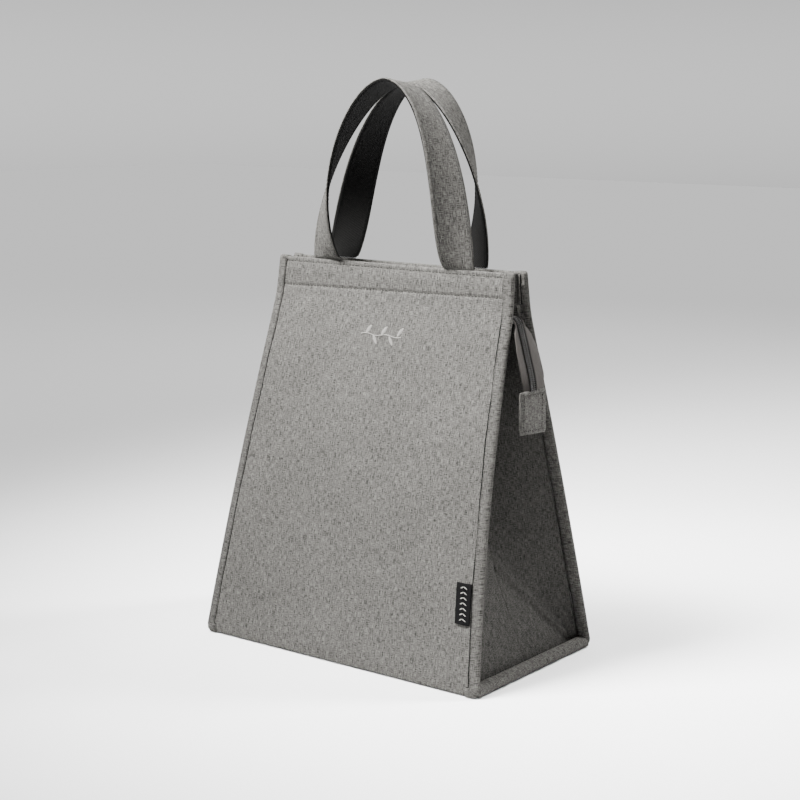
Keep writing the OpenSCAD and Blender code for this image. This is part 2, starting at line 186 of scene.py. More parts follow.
def frames(path, up):
    """Tangents, sideways and up vectors along a path of points."""
    path = np.asarray(path, float)
    t = np.gradient(path, axis=0)
    t /= np.linalg.norm(t, axis=-1, keepdims=True)
    up = np.broadcast_to(np.asarray(up, float), path.shape)
    side = np.cross(t, up)
    side /= np.linalg.norm(side, axis=-1, keepdims=True)
    return t, side, np.cross(side, t)


def cord(name, line, up, half_w, half_h, material):
    """A thin oval cord along a line."""
    _, across, out = frames(line, up)
    turn = np.arange(8) * math.pi / 4
    rings = [line + across * half_w * math.cos(a) + out * half_h * math.sin(a) for a in turn]
    return loft(name, np.stack(rings, 1), material)


def capsules(name, centres, directions, normals, length, width, height, material):
    """Many small stitches in one mesh: each an elongated pad lying on a surface."""
    centres, directions, normals = (np.asarray(v, float) for v in (centres, directions, normals))
    directions = directions / np.linalg.norm(directions, axis=-1, keepdims=True)
    side = np.cross(normals, directions)
    side /= np.linalg.norm(side, axis=-1, keepdims=True)
    out = np.cross(directions, side)
    t = np.array([-1, -0.86, -0.45, 0, 0.45, 0.86, 1])
    r = np.array([0.12, 0.6, 0.95, 1, 0.95, 0.6, 0.12])
    angle = np.arange(6) * np.pi / 3
    length = np.broadcast_to(np.asarray(length, float), (len(centres),))
    ring = (
        t[None, :, None, None] * (length / 2)[:, None, None, None] * directions[:, None, None]
        + (r[:, None] * np.cos(angle))[None, :, :, None] * width / 2 * side[:, None, None]
        + (r[:, None] * np.sin(angle))[None, :, :, None] * height * out[:, None, None]
    )
    verts = (centres[:, None, None] + ring).reshape(-1, 3)
    count = len(centres)
    base = np.arange(count)[:, None, None] * len(t) * len(angle)
    i, j = np.meshgrid(np.arange(len(t) - 1), np.arange(len(angle)), indexing="ij")
    k = (j + 1) % len(angle)
    q = np.stack([i * 6 + j, i * 6 + k, (i + 1) * 6 + k, (i + 1) * 6 + j], -1).reshape(-1, 4)
    faces = (base + q[None]).reshape(-1, 4)
    uv = np.tile(np.array([[0, 0], [0, 0.001], [0.001, 0.001], [0.001, 0]]), (len(faces), 1))
    return make_object(name, verts, faces, uv, material)


def even_steps(path, pitch, *values):
    """The path and other values along it, read at even steps."""
    s = lengths(path, 0)
    count = max(2, int(s[-1] / pitch))
    at = (np.arange(count) + 0.5) * s[-1] / count
    return [np.stack([np.interp(at, s, v[:, q]) for q in range(3)], 1) for v in (path, *values)]


def stitches(name, path, normals, pitch, material, width=0.55, height=0.28):
    """A seam of stitches at even steps along a path."""
    path = np.asarray(path, float)
    normals = np.broadcast_to(np.asarray(normals, float), path.shape)
    c, n, t = even_steps(path, pitch, normals, np.gradient(path, axis=0))
    n /= np.linalg.norm(n, axis=-1, keepdims=True)
    return capsules(name, c, t, n, pitch * 0.72, width, height, material)


def stand_in(piece, node, slot, body):
    """Puts a piece in a CAD node's place, on the body that it moves with."""
    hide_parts(node)
    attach(piece, body)


def steps(a, b, n):
    return np.linspace(a, b, n)


# ---------------------------------------------------------------- materials
def new_material(name):
    mat = bpy.data.materials.new(name)
    mat.use_nodes = True
    tree = mat.node_tree
    tree.nodes.clear()
    out = tree.nodes.new("ShaderNodeOutputMaterial")
    shader = tree.nodes.new("ShaderNodeBsdfPrincipled")
    tree.links.new(shader.outputs[0], out.inputs[0])
    return mat, tree, shader


def put(tree, kind, links=(), **values):
    node = tree.nodes.new(kind)
    for key, value in values.items():
        setattr(node, key, value)
    for slot, source in links:
        if hasattr(source, "is_linked") or isinstance(source, bpy.types.NodeSocket):
            tree.links.new(source, node.inputs[slot])
        else:
            node.inputs[slot].default_value = source
    return node


def math_node(tree, op, a, b=0.0):
    return put(tree, "ShaderNodeMath", [(0, a), (1, b)], operation=op).outputs[0]


def wave(tree, source, pitch):
    """Sine ridges of a pitch in metres."""
    return math_node(tree, "SINE", math_node(tree, "MULTIPLY", source, 2 * math.pi / pitch))


THREAD = 0.00085


def heather(name, tone=1.0, tint=(1.0, 0.968, 0.900), contrast=1.0, turn=False, bump=0.25):
    """Heathered plain weave: streaky warp and weft threads in light and dark greys."""
    mat, tree, shader = new_material(name)
    uv = put(tree, "ShaderNodeTexCoord").outputs["UV"]
    if turn:
        uv = put(tree, "ShaderNodeMapping", [("Vector", uv), ("Rotation", (0, 0, math.pi / 2))]).outputs[0]

    def streaks(scale, detail, seed):
        m = put(tree, "ShaderNodeMapping", [("Vector", uv), ("Scale", scale), ("Location", seed)])
        links = [("Vector", m.outputs[0]), ("Scale", 1.0), ("Detail", detail), ("Roughness", 0.62)]
        return put(tree, "ShaderNodeTexNoise", links).outputs[0]

    warp = streaks((3000, 210, 1), 1.0, (3, 1, 0))
    weft = streaks((240, 3000, 1), 1.0, (7, 4, 2))
    slub = streaks((1500, 90, 1), 1.0, (1, 9, 5))
    fleck = streaks((2600, 2000, 1), 2.0, (2, 6, 4))
    cloud = streaks((24, 18, 1), 3.0, (5, 2, 8))
    mixed = math_node(tree, "MULTIPLY", warp, 0.38)
    for streak, share in ((weft, 0.34), (slub, 0.13), (fleck, 0.15)):
        mixed = math_node(tree, "ADD", mixed, math_node(tree, "MULTIPLY", streak, share))
    ramp = put(tree, "ShaderNodeValToRGB", [("Fac", mixed)])
    spread = 0.080 / contrast
    ramp.color_ramp.elements[0].position = 0.5 - spread
    ramp.color_ramp.elements[1].position = 0.5 + spread
    low, high = 0.015 * tone, 0.092 * tone
    ramp.color_ramp.elements[0].color = (low * tint[0], low * tint[1], low * tint[2], 1)
    ramp.color_ramp.elements[1].color = (high * tint[0], high * tint[1], high * tint[2], 1)
    soft = put(tree, "ShaderNodeMix", [("Factor", 0.16)], data_type="RGBA", blend_type="OVERLAY")
    tree.links.new(ramp.outputs[0], soft.inputs["A"])
    tree.links.new(cloud, soft.inputs["B"])
    tree.links.new(soft.outputs["Result"], shader.inputs["Base Color"])
    sep = put(tree, "ShaderNodeSeparateXYZ", [(0, uv)])
    wave_u, wave_v = wave(tree, sep.outputs[0], THREAD), wave(tree, sep.outputs[1], THREAD)
    weave = math_node(tree, "MULTIPLY", math_node(tree, "MULTIPLY", wave_u, wave_v), 0.35)
    height = math_node(tree, "ADD", weave, math_node(tree, "MULTIPLY", mixed, 2.2))
    b = put(tree, "ShaderNodeBump", [("Strength", bump), ("Distance", 0.0006), ("Height", height)])
    tree.links.new(b.outputs[0], shader.inputs["Normal"])
    shader.inputs["Roughness"].default_value = 0.92
    shader.inputs["Specular IOR Level"].default_value = 0.04
    return mat


def ribbed(name, color, rib=0.0011, bump=0.4, vary=0.25, rough=0.85, specular=0.1):
    """Narrow woven goods: webbing and zip tape, ribbed across their length."""
    mat, tree, shader = new_material(name)
    uv = put(tree, "ShaderNodeTexCoord").outputs["UV"]
    sep = put(tree, "ShaderNodeSeparateXYZ", [(0, uv)])
    wave_u, wave_v = wave(tree, sep.outputs[0], rib * 1.4), wave(tree, sep.outputs[1], rib)
    weave = math_node(tree, "MULTIPLY", wave_u, wave_v)
    m = put(tree, "ShaderNodeMapping", [("Vector", uv), ("Scale", (900, 260, 1))])
    links = [("Vector", m.outputs[0]), ("Scale", 1.0), ("Detail", 2.0)]
    noise = put(tree, "ShaderNodeTexNoise", links).outputs[0]
    ramp = put(tree, "ShaderNodeValToRGB", [("Fac", noise)])
    ramp.color_ramp.elements[0].position = 0.3
    ramp.color_ramp.elements[1].position = 0.7
    ramp.color_ramp.elements[0].color = tuple(c * (1 - vary) for c in color) + (1,)
    ramp.color_ramp.elements[1].color = tuple(c * (1 + vary) for c in color) + (1,)
    tree.links.new(ramp.outputs[0], shader.inputs["Base Color"])
    height = math_node(tree, "ADD", weave, noise)
    b = put(tree, "ShaderNodeBump", [("Strength", bump), ("Distance", 0.0004), ("Height", height)])
    tree.links.new(b.outputs[0], shader.inputs["Normal"])
    shader.inputs["Roughness"].default_value = rough
    shader.inputs["Specular IOR Level"].default_value = specular
    return mat


def plain(name, color, rough=0.5, metallic=0.0, grain=None, bump=0.2, specular=0.5):
    mat, tree, shader = new_material(name)
    shader.inputs["Base Color"].default_value = tuple(color) + (1,)
    shader.inputs["Roughness"].default_value = rough
    shader.inputs["Metallic"].default_value = metallic
    shader.inputs["Specular IOR Level"].default_value = specular
    if grain:
        co = put(tree, "ShaderNodeTexCoord").outputs["Object"]
        links = [("Vector", co), ("Scale", grain), ("Detail", 4.0)]
        noise = put(tree, "ShaderNodeTexNoise", links).outputs[0]
        b = put(tree, "ShaderNodeBump", [("Strength", bump), ("Distance", 0.002), ("Height", noise)])
        tree.links.new(b.outputs[0], shader.inputs["Normal"])
    return mat


cloth_mat = heather("heather_cloth")
# painted shade: the same heathered cloth at about half its brightness, for the gusset and the pieces inside
# the mouth, which lie in shade
painted_shade_cloth = heather("heather_gusset", tone=0.52)
binding_mat = heather("heather_binding", tone=0.90, turn=True)
strap_mat = heather("heather_strap", tone=0.97, contrast=1.1)
web_mat = ribbed("black_webbing", (0.0025, 0.0024, 0.0022), rib=0.0014, bump=0.5, rough=0.75, specular=0.06)
tape_mat = ribbed("zip_tape", (0.046, 0.0425, 0.040), rib=0.0009, bump=0.25, vary=0.12, specular=0.05)
coil_mat = plain("zip_coil", (0.026, 0.025, 0.0235), rough=0.4, specular=0.25)
metal_mat = plain("gunmetal", (0.22, 0.22, 0.226), rough=0.32, metallic=1.0)
foil_mat = plain("foil", (0.60, 0.61, 0.62), rough=0.28, metallic=0.85, grain=70, bump=0.5)
foam_mat = plain("foam", (0.28, 0.28, 0.275), rough=0.8)
board_mat = plain("board", (0.010, 0.010, 0.010), rough=0.6, specular=0.1)
# dark thread for stitches, and painted shade: the same dark colour on thin strips along the bindings' edges,
# the coil's sides and the mouth strips' gaps
thread_and_shade_mat = plain("thread_and_painted_shade", (0.004, 0.0038, 0.0036), rough=0.8, specular=0.05)
grey_thread = plain("grey_thread", (0.026, 0.0252, 0.0238), rough=0.8, specular=0.05)
# painted highlight: the cloth at one and a half times its brightness, for the turned edges of the mouth
# strips
painted_highlight_cloth = heather("heather_painted_highlight", tone=1.5)
seam_shadow = plain("seam_shadow", (0.011, 0.0107, 0.010), rough=0.9, specular=0.05)
light_thread = plain("light_thread", (0.20, 0.194, 0.182), rough=0.6, specular=0.1)
label_mat = ribbed("label_satin", (0.0012, 0.0012, 0.0013), rib=0.0005, bump=0.3, rough=0.6, specular=0.05)


# ---------------------------------------------------------------- helpers for the two panels and two sides
SIDES = {"front": 1.0, "back": -1.0}


def flip_y(points, side):
    p = np.array(points, float)
    p[..., 1] *= side
    return p


def flip_x(points, side):
    p = np.array(points, float)
    p[..., 0] *= side
    return p


def panel_half_w(z, inset=0.0):
    """Half width of a panel, rounded at its bottom corners."""
    w = half_width(z) - inset
    r = CORNER_R
    return np.where(z < r, w - (r - np.sqrt(np.maximum(r * r - (r - np.minimum(z, r)) ** 2, 0))), w)


def panel_swell(x, z):
    """Soft unevenness of a panel's padding."""
    edge = np.clip((half_width(z) - np.abs(x)) / 30, 0, 1)
    band = np.clip((263 - z) / 16, 0.0, 1) ** 0.8 * np.clip(z / 12, 0, 1)
    wide = wander(x, z, 5, 110) * 0.55 + wander(x, z, 9, 38) * 0.16
    return (1.0 + 1.35 * wide) * edge**0.5 * band


def kink_z(x):
    """Height of the band's lower seam."""
    return 265.5 + 2.0 * x / 105.0


def outer_y(x, z):
    """y of the front panel's outer face."""
    seam = 0.75 * np.exp(-(((z - kink_z(x)) / 1.1) ** 2)) + 0.35 * np.exp(-(((z - TOP_SEAM_Z) / 0.7) ** 2))
    belly = 0.35 * np.exp(-(((z - 275) / 4.5) ** 2))
    belly = belly + 0.12 * wander(x, z, 3, 30) * np.clip((z - BAND_Z) / 4, 0, 1)
    top = 0.25 * np.clip((z - 277) / 4, 0, 1)
    return -(half_depth(z) + 0.1 - top + panel_swell(x, z) + belly - seam)


def surface_normal(x, z):
    e = 0.5
    dx = (outer_y(x + e, z) - outer_y(x - e, z)) / (2 * e)
    dz = (outer_y(x, z + e) - outer_y(x, z - e)) / (2 * e)
    n = np.stack([dx, -np.ones_like(dx), dz], -1)
    return n / np.linalg.norm(n, axis=-1, keepdims=True)


# ---------------------------------------------------------------- panels
def panel_cloth(us):
    """Grid under the base's edge, up the face, over the top fold and a little way down inside."""
    corner_r, fold_r = 2.2, 1.65
    top_z = BAG_H - fold_r - 0.15
    rows = [("under", a * math.pi / 2) for a in steps(0, 1, 7)]
    rows += [("face", z) for z in np.concatenate([steps(2.6, 258, 110), steps(259.5, 283.0, 34)])]
    rows += [("fold", a * math.pi) for a in steps(0.15, 1, 9)]
    rows += [("inside", d) for d in steps(1, 9, 5)]
    grid = np.zeros((len(us), len(rows), 3))
    for j, (kind, p) in enumerate(rows):
        if kind == "under":
            height, foot, back = corner_r * (1 - math.cos(p)), 2.6, corner_r * (1 - math.sin(p))
        elif kind == "face":
            height, foot, back = p, p, 0.0
        elif kind == "fold":
            height, foot, back = top_z + fold_r * math.sin(p), 283.2, fold_r - fold_r * math.cos(p)
        else:
            height, foot, back = top_z - p, 283.2, 2 * fold_r + 0.02 * p
        x = us * panel_half_w(np.full(len(us), top_z if kind in ("fold", "inside") else height))
        grid[:, j] = np.stack([x, outer_y(x, np.full(len(us), foot)) + back, np.full(len(us), height)], 1)
    return grid


def build_panel(which):
    side = SIDES[which]
    body = which + "_panel"
    us = steps(-1, 1, 150)
    grid = panel_cloth(us)
    uv = np.stack([grid[..., 0], np.broadcast_to(lengths(grid[75:76], 1), grid.shape[:2])], -1)
    piece = shell(which + "_cloth_skin", flip_y(grid, side), CLOTH * 0.9, cloth_mat, uv, flip=side < 0)
    stand_in(piece, which + "_cloth", "heather_cloth", body)
    cloth_piece(piece)

    # foam between cloth and lining, quilted a little where the band is sewn through
    zs = steps(1.6, 283, 60)
    X, Z = np.meshgrid(us, zs, indexing="ij")
    dent = 0.5 * np.exp(-(((Z - 265.5) / 2.0) ** 2))
    grid = np.stack([X * (half_width(Z) - 1.4), -(half_depth(Z) - 0.95 - dent), Z], -1)
    piece = shell(which + "_foam_pad", flip_y(grid, side), 2.1 - 0.2, foam_mat, flip=side < 0)
    stand_in(piece, which + "_foam", "foam", body)

    # facing inside the band, in the cloth darkened as painted shade
    zs = steps(BAND_Z - 1.5, BAG_H - 4, 14)
    X, Z = np.meshgrid(us, zs, indexing="ij")
    gx = X * (half_width(Z) - BINDING_W)
    gy = -(half_depth(Z) - CLOTH - 2.4) + 0.12 * wander(gx, Z, 21, 25)
    grid = flip_y(np.stack([gx, gy, Z], -1), side)
    piece = shell(which + "_facing_skin", grid, 0.7, painted_shade_cloth, flip=side > 0)
    stand_in(piece, which + "_facing", "heather_cloth", body)
    cloth_piece(piece)

    # foil lining, with the puckers of a seamed film, and the cloth hem above it, darkened as painted shade
    for tag, low, high, count, mat, slot, back_off in (
        ("lining", 3, 250.5, 90, foil_mat, "foil_lining", 0.0),
        ("hem", 250.2, BAND_Z - 1, 10, painted_shade_cloth, "heather_cloth", 0.03),
    ):
        zs = steps(low, high, count)
        X, Z = np.meshgrid(us, zs, indexing="ij")
        gx = X * (half_width(Z) - FLANGE_W - 1.0)
        pucker = 0.22 * (wander(gx, Z, 31, 26) - 0.9) * np.clip((BAND_Z - Z) / 8, 0, 1)
        gy = np.minimum(-(half_depth(Z) - WALL + 0.02) + pucker, -(half_depth(Z) - WALL)) + back_off
        grid = flip_y(np.stack([gx, gy, Z], -1), side)
        piece = shell(f"{which}_{tag}_skin", grid, 0.3, mat, flip=side > 0)
        stand_in(piece, which + "_lining", slot, body)
        cloth_piece(piece)

    # seams: along the band's lower edge and under the top fold
    xs = steps(-half_width(270) + 8, half_width(270) - 8, 120)
    for label, z in (("band_seam", kink_z(xs)), ("top_seam", TOP_SEAM_Z + 0 * xs)):
        pts = flip_y(np.stack([xs, outer_y(xs, z), z], -1), side)
        out = flip_y(surface_normal(xs, z), side)
        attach(stitches(f"{which}_{label}", pts, out, 2.9, seam_shadow, width=0.62, height=0.24), body)
    for sign in (-1, 1):
        build_binding(which, sign)


def build_binding(which, sign):
    """Folded tape round one edge of a panel: from under the corner, up the edge, to a rounded end."""
    side = SIDES[which]
    body = which + "_panel"
    zs = np.concatenate([steps(CORNER_R, 250, 120), steps(252, BAG_H + 0.6, 24)])
    arc = steps(-math.pi / 2, 0, 12)[:-1]
    cx, cz = half_width(CORNER_R) - CORNER_R, CORNER_R
    path = [(cx - 3, 0.0)] + [(cx + CORNER_R * math.cos(a), cz + CORNER_R * math.sin(a)) for a in arc]
    path = np.array(path + [(half_width(z), z) for z in zs])
    t = np.gradient(path, axis=0)
    t /= np.linalg.norm(t, axis=1, keepdims=True)
    inward = np.stack([-t[:, 1], t[:, 0]], 1)
    s = lengths(np.column_stack([path, np.zeros(len(path))]), 0)
    pucker = 0.02 * np.sin(s * 2 * math.pi / 3.0) + 0.16 * wander(s, s * 0, 40 + sign, 40)
    width = BINDING_W + 0.35 * wander(s, s * 0, 50 + sign * 3 + side, 46)
    # cross-section: outer face, rounded edge, inner face, and back through the flange
    half = [(0.86, -1.08), (0.6, -1.1), (0.35, -1.06), (0.16, -0.93), (0.03, -0.6), (-0.045, -0.2)]
    face = [(1.0, -1.0)] + half + [(a, -b) for a, b in half[::-1]]
    face += [(1.23, 1.02), (1.23, 0.75), (1.0, -0.55)]
    mid_t, half_t = (FLANGE_T - CLOTH) / 2, (FLANGE_T + CLOTH) / 2 - 0.15
    rings = []
    for i in range(len(path)):
        end = max(0.0, (path[i, 1] - (BAG_H - 1.8)) / 2.4)
        shrink = math.sqrt(max(0.0, 1 - min(1.0, end) ** 2 * 0.8))
        base_y = -half_depth(min(path[i, 1], BAG_H))
        ring = []
        for a, b in face:
            w = a * (width[i] + 0.7) - 0.7
            out = b * half_t * shrink + (pucker[i] * 0.5 if b < 0 else -pucker[i] * 0.5) * (0.2 < a < 1)
            px = path[i, 0] + inward[i, 0] * (w + (1 - shrink) * (1 - a) * 1.5)
            pz = path[i, 1] + inward[i, 1] * w
            ring.append((px * sign, base_y + mid_t + out, max(pz, 0.02)))
        rings.append(ring[::-1] if sign * side > 0 else ring)
    name = f"{which}_{'right' if sign > 0 else 'left'}_binding"
    piece = loft(name + "_tape", flip_y(rings, side), binding_mat)
    stand_in(piece, name, "binding_cloth", body)
    # seam along the binding's inner edge, on both faces
    inset = width - 0.9
    px, pz = path[:, 0] + inward[:, 0] * inset, path[:, 1] + inward[:, 1] * inset
    keep = (pz > 4) & (pz < BAG_H - 1)
    px, pz = px[keep], pz[keep]
    n = np.stack([px * 0, px * 0 - 1, px * 0 - 0.1], -1)
    # the inner seam stops above the base's binding, to clear it as the panel folds
    for label, face_side, low in (("_seam", -1, 0), ("_seam_inner", 1, 13)):
        on = pz > low
        pts = np.stack([px * sign, -half_depth(pz) + mid_t + face_side * half_t * 1.09, pz], -1)[on]
        pts, out = flip_y(pts, side), flip_y(-face_side * n[on], side)
        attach(stitches(name + label, pts, out, 3.0, grey_thread, width=0.4, height=0.10), body)
    # painted shade: a thin dark strip along the valley where the tape's edge lies on the panel
    edge = width + 0.15
    px, pz = path[:, 0] + inward[:, 0] * edge, path[:, 1] + inward[:, 1] * edge
    keep = (pz > 5) & (pz < BAG_H - 2.5)
    px, pz = px[keep], pz[keep]
    y = outer_y(px * sign, pz) + 0.05
    line = np.stack([px * sign, y, pz], -1)
    _, across, up = frames(line, (0, -1, 0))
    section = ((-1, 0), (-0.5, 1), (0.5, 1), (1, 0), (0, -1))
    rings = np.stack([line + across * 0.55 * a + up * 0.14 * b for a, b in section], 1)
    painted_shade_groove = loft(name + "_valley", flip_y(rings[:, ::-1] if side > 0 else rings, side), thread_and_shade_mat)
    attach(painted_shade_groove, body)


for which in SIDES:
    build_panel(which)


# ---------------------------------------------------------------- gussets
CREASE_Z, CREASE_DEPTH, CREASE_GROWTH, GUSSET_TOP = 76.0, 26.0, 0.11, 246.0


def gusset_half_d(z):
    return half_depth(z) - FLANGE_T - GAP


def fold_depth(z):
    return np.where(z < CREASE_Z, CREASE_DEPTH * z / CREASE_Z, CREASE_DEPTH + CREASE_GROWTH * (z - CREASE_Z))


def fold_share(s, z, soft=0.10):
    flat = np.maximum(0, 1 - z / CREASE_Z) * 0.98
    low = soft_max(-flat, 0, soft)
    return 1 - (soft_max(s - flat, 0, soft) - low) / (soft_max(1 - flat, 0, soft) - low)


def gusset_x(s, z, t):
    steep = np.sqrt(1 + (fold_depth(z) / gusset_half_d(z)) ** 2)
    return half_width(z) - FLANGE_W - fold_depth(z) * fold_share(np.abs(s), z) - t * steep


def gusset_blend(half, sign):
    """Works out the ends of the stretch over which a gusset half would go from following the base to
    following its panel.
    """
    # share of the panel's motion at a point: slope . point + share_at_origin, in millimetres
    slope = np.array([0.01549 * sign, -0.01003 * half, 0.0041])
    share_at_origin = -1.675
    step = slope / (slope @ slope)
    start = -share_at_origin * step
    return [v * MM for v in start], [v * MM for v in start + step]


def build_gusset(name, sign):
    zs = np.concatenate([steps(3.2, 100, 60), steps(102, GUSSET_TOP, 60)])
    for half, which in ((1.0, "front"), (-1.0, "back")):
        ss = steps(0, 1.0, 46)
        # the cloth layer is the cloth darkened as painted shade
        for layer, t, thick, mat, slot in (
            ("cloth", 0.0, 0.8, painted_shade_cloth, "heather_cloth"),
            ("foam", 0.85, 1.5, foam_mat, "foam"),
            ("lining", 2.4, 0.35, foil_mat, "foil_lining"),
        ):
            z_here = zs if layer == "cloth" else steps(5.2, GUSSET_TOP - 0.6, 60)
            S, Z = np.meshgrid(ss, z_here, indexing="ij")
            x = gusset_x(S, Z, t)
            fade = np.sin(np.pi * np.clip(S, 0, 1)) * np.clip(Z / 12, 0, 1)
            y = -half * S * gusset_half_d(Z)
            x = x + fade * (0.5 * wander(y, Z, 61 + sign, 60) + 0.25 * wander(y, Z, 63, 22))
            if layer == "cloth":
                # the crease from each base corner stands up as a soft ridge
                off = (S - (1 - Z / CREASE_Z)) * gusset_half_d(Z)
                ends = np.clip(Z / 14, 0, 1) * np.clip((96 - Z) / 24, 0, 1) * np.clip((1 - S) / 0.12, 0, 1)
                x = x + 2.2 * np.exp(-((off / 3.6) ** 2)) * ends
            grid = np.stack([x, y, Z], -1)
            if layer == "cloth":
                # the hem turns over the top of the padding
                lip = grid[:, -1:].copy()
                over = [lip + np.array([-d * 3.0, 0, 1.2 * math.sin(math.pi * d)]) for d in (0.33, 0.66, 1.0)]
                drop = [lip + np.array([-3.1, 0, -k]) for k in (3, 7)]
                grid = np.concatenate([grid] + over + drop, 1)
            uv = np.stack([S * 76 + (0 if half > 0 else 200), Z], -1)
            if layer == "cloth":
                extra = np.stack([uv[:, -1] + (0, k) for k in (1.2, 2.4, 3.6, 6, 10)], 1)
                uv = np.concatenate([uv, extra], 1)
            grid = flip_x(grid, sign)
            piece = shell(f"{name}_gusset_{layer}_{which}", grid, thick, mat, uv, flip=half * sign > 0)
            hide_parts(f"{name}_gusset_{layer}")
            start, end = gusset_blend(half, sign)
            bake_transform(piece)
            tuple(start)
            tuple(end)
            if layer == "foam":
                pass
            else:
                cloth_piece(piece)


build_gusset("right", 1.0)
build_gusset("left", -1.0)


# ---------------------------------------------------------------- base
def build_base():
    half_w, half_d = 125.0, 72.4
    X, Y = np.meshgrid(steps(-half_w, half_w, 90), steps(-half_d, half_d, 56), indexing="ij")
    middle = np.clip((half_w - np.abs(X)) / 10, 0, 1) * np.clip((half_d - np.abs(Y)) / 10, 0, 1)
    lift = 0.12 * (1 + wander(X, Y, 71, 60)) * middle
    piece = shell("base_cloth_skin", np.stack([X, Y, lift], -1), 0.75, cloth_mat, flip=True)
    stand_in(piece, "base_cloth", "heather_cloth", "base")
    cloth_piece(piece)
    X, Y = np.meshgrid(steps(-123, 123, 60), steps(-71.6, 71.6, 40), indexing="ij")
    piece = shell("base_foam_pad", np.stack([X, Y, 4.35 + 0 * X], -1), 2.3, foam_mat)
    stand_in(piece, "base_foam", "foam", "base")
    X, Y = np.meshgrid(steps(-114, 114, 90), steps(-70.8, 70.8, 56), indexing="ij")
    Z = 5.0 + 0.15 * wander(X, Y, 73, 30)
    piece = shell("base_lining_skin", np.stack([X, Y, Z], -1), 0.35, foil_mat)
    stand_in(piece, "base_lining", "foil_lining", "base")
    cloth_piece(piece)
    for sign, name in ((1.0, "right"), (-1.0, "left")):
        ys = steps(-71.2, 71.2, 110)
        pucker = 0.10 * np.sin(ys * 2 * math.pi / 3.2) + 0.25 * wander(ys, ys * 0, 80 + sign, 50)
        profile = [(117.6, 4.0), (117.9, 6.4), (118.9, 7.6), (120.4, 7.9), (122.4, 7.5), (124.2, 6.6),
                   (125.6, 5.2), (126.3, 3.6), (126.5, 2.0), (126.1, 0.7), (124.9, 0.05), (121.0, 0.02),
                   (117.8, 0.5)]
        rings = []
        for y, p in zip(ys, pucker):
            ring = [(sign * px, y, pz + (p * 0.5 if pz > 6 else 0)) for px, pz in profile]
            rings.append(ring if sign > 0 else ring[::-1])
        piece = loft(f"{name}_base_binding_tape", rings, binding_mat)
        stand_in(piece, f"{name}_base_binding", "binding_cloth", "base")
        pts = np.stack([ys * 0 + sign * 118.35, ys, 7.55 + pucker * 0.5], -1)
        out = (sign * 0.5, 0, 1.0)
        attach(stitches(f"{name}_base_seam", pts, out, 3.1, thread_and_shade_mat, width=0.5, height=0.22), "base")


build_base()


# ---------------------------------------------------------------- mouth strips
def build_mouth_strip(name, sign):
    zs = steps(BAND_Z - 0.3, BAG_H - 0.8, 26)
    ss = steps(-1, 1, 31)
    S, Z = np.meshgrid(ss, zs, indexing="ij")
    hd = half_depth(Z) - FLANGE_T - GAP
    x = 100.0 + 2.4 * S * S + 0.15 * wander(S * 9, Z, 91, 12)
    x = np.where(Z > BAG_H - 3, x - (Z - (BAG_H - 3)) ** 2 * 0.12, x)
    grid = np.stack([x, S * hd, Z], -1)
    # the strip is the cloth darkened as painted shade
    piece = shell(f"{name}_mouth_strip_skin", flip_x(grid, sign), 1.5, painted_shade_cloth, flip=sign < 0)
    stand_in(piece, f"{name}_mouth_strip", "heather_cloth", "base")
    cloth_piece(piece)
    # painted highlight: lighter cords along the turned edges; painted shade: a dark cord in the valley beside
    # each and another in the gap at each end of the strip
    for k, end in ((-1, "a"), (1, "b")):
        for tag, share, radius, flat, bump, low, mat in (
            ("edge", 0.86, 0.42, 1.0, 0.35, 0.2, painted_highlight_cloth),
            ("valley", 0.66, 0.5, 0.35, 0.15, 0.2, seam_shadow),
            ("gap", 0.985, 0.45, 0.35, 0.15, -0.2, thread_and_shade_mat),
        ):
            zz = steps(BAND_Z + low, BAG_H - 1.6, 20)
            y = k * (half_depth(zz) - FLANGE_T - GAP) * share
            line = np.stack([sign * (100 + 2.4 * share**2 + bump + 0 * zz), y, zz], -1)
            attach(cord(f"{name}_mouth_{tag}_{end}", line, (sign, 0, 0), radius, radius * flat, mat), "base")


build_mouth_strip("right", 1.0)
build_mouth_strip("left", -1.0)


# ---------------------------------------------------------------- zip
ZIP_TOP, COIL_Z = 253.3, 253.0


def tooth_row(name, path, normals, width, body, node, sides=(-1, 1), pitch=1.35):
    """Coil teeth: short rounded bars that lean in across a path from each of its sides."""
    path = np.asarray(path, float)
    normals = np.broadcast_to(np.asarray(normals, float), path.shape)
    c, n, t = even_steps(path, pitch, normals, np.gradient(path, axis=0))
    t /= np.linalg.norm(t, axis=1, keepdims=True)
    a = np.broadcast_to((0.0, 1, 0), c.shape)
    centres, dirs, norms = [], [], []
    for k in sides:
        centres.append(c + a * k * width * 0.27 + t * (0.33 * pitch if k > 0 else -0.17 * pitch))
        dirs.append(a + t * 0.18)
        norms.append(n)
    centres, dirs, norms = (np.concatenate(v) for v in (centres, dirs, norms))
    stand_in(capsules(name, centres, dirs, norms, width * 0.56, 0.82, 0.75, coil_mat), node, "zip_coil", body)


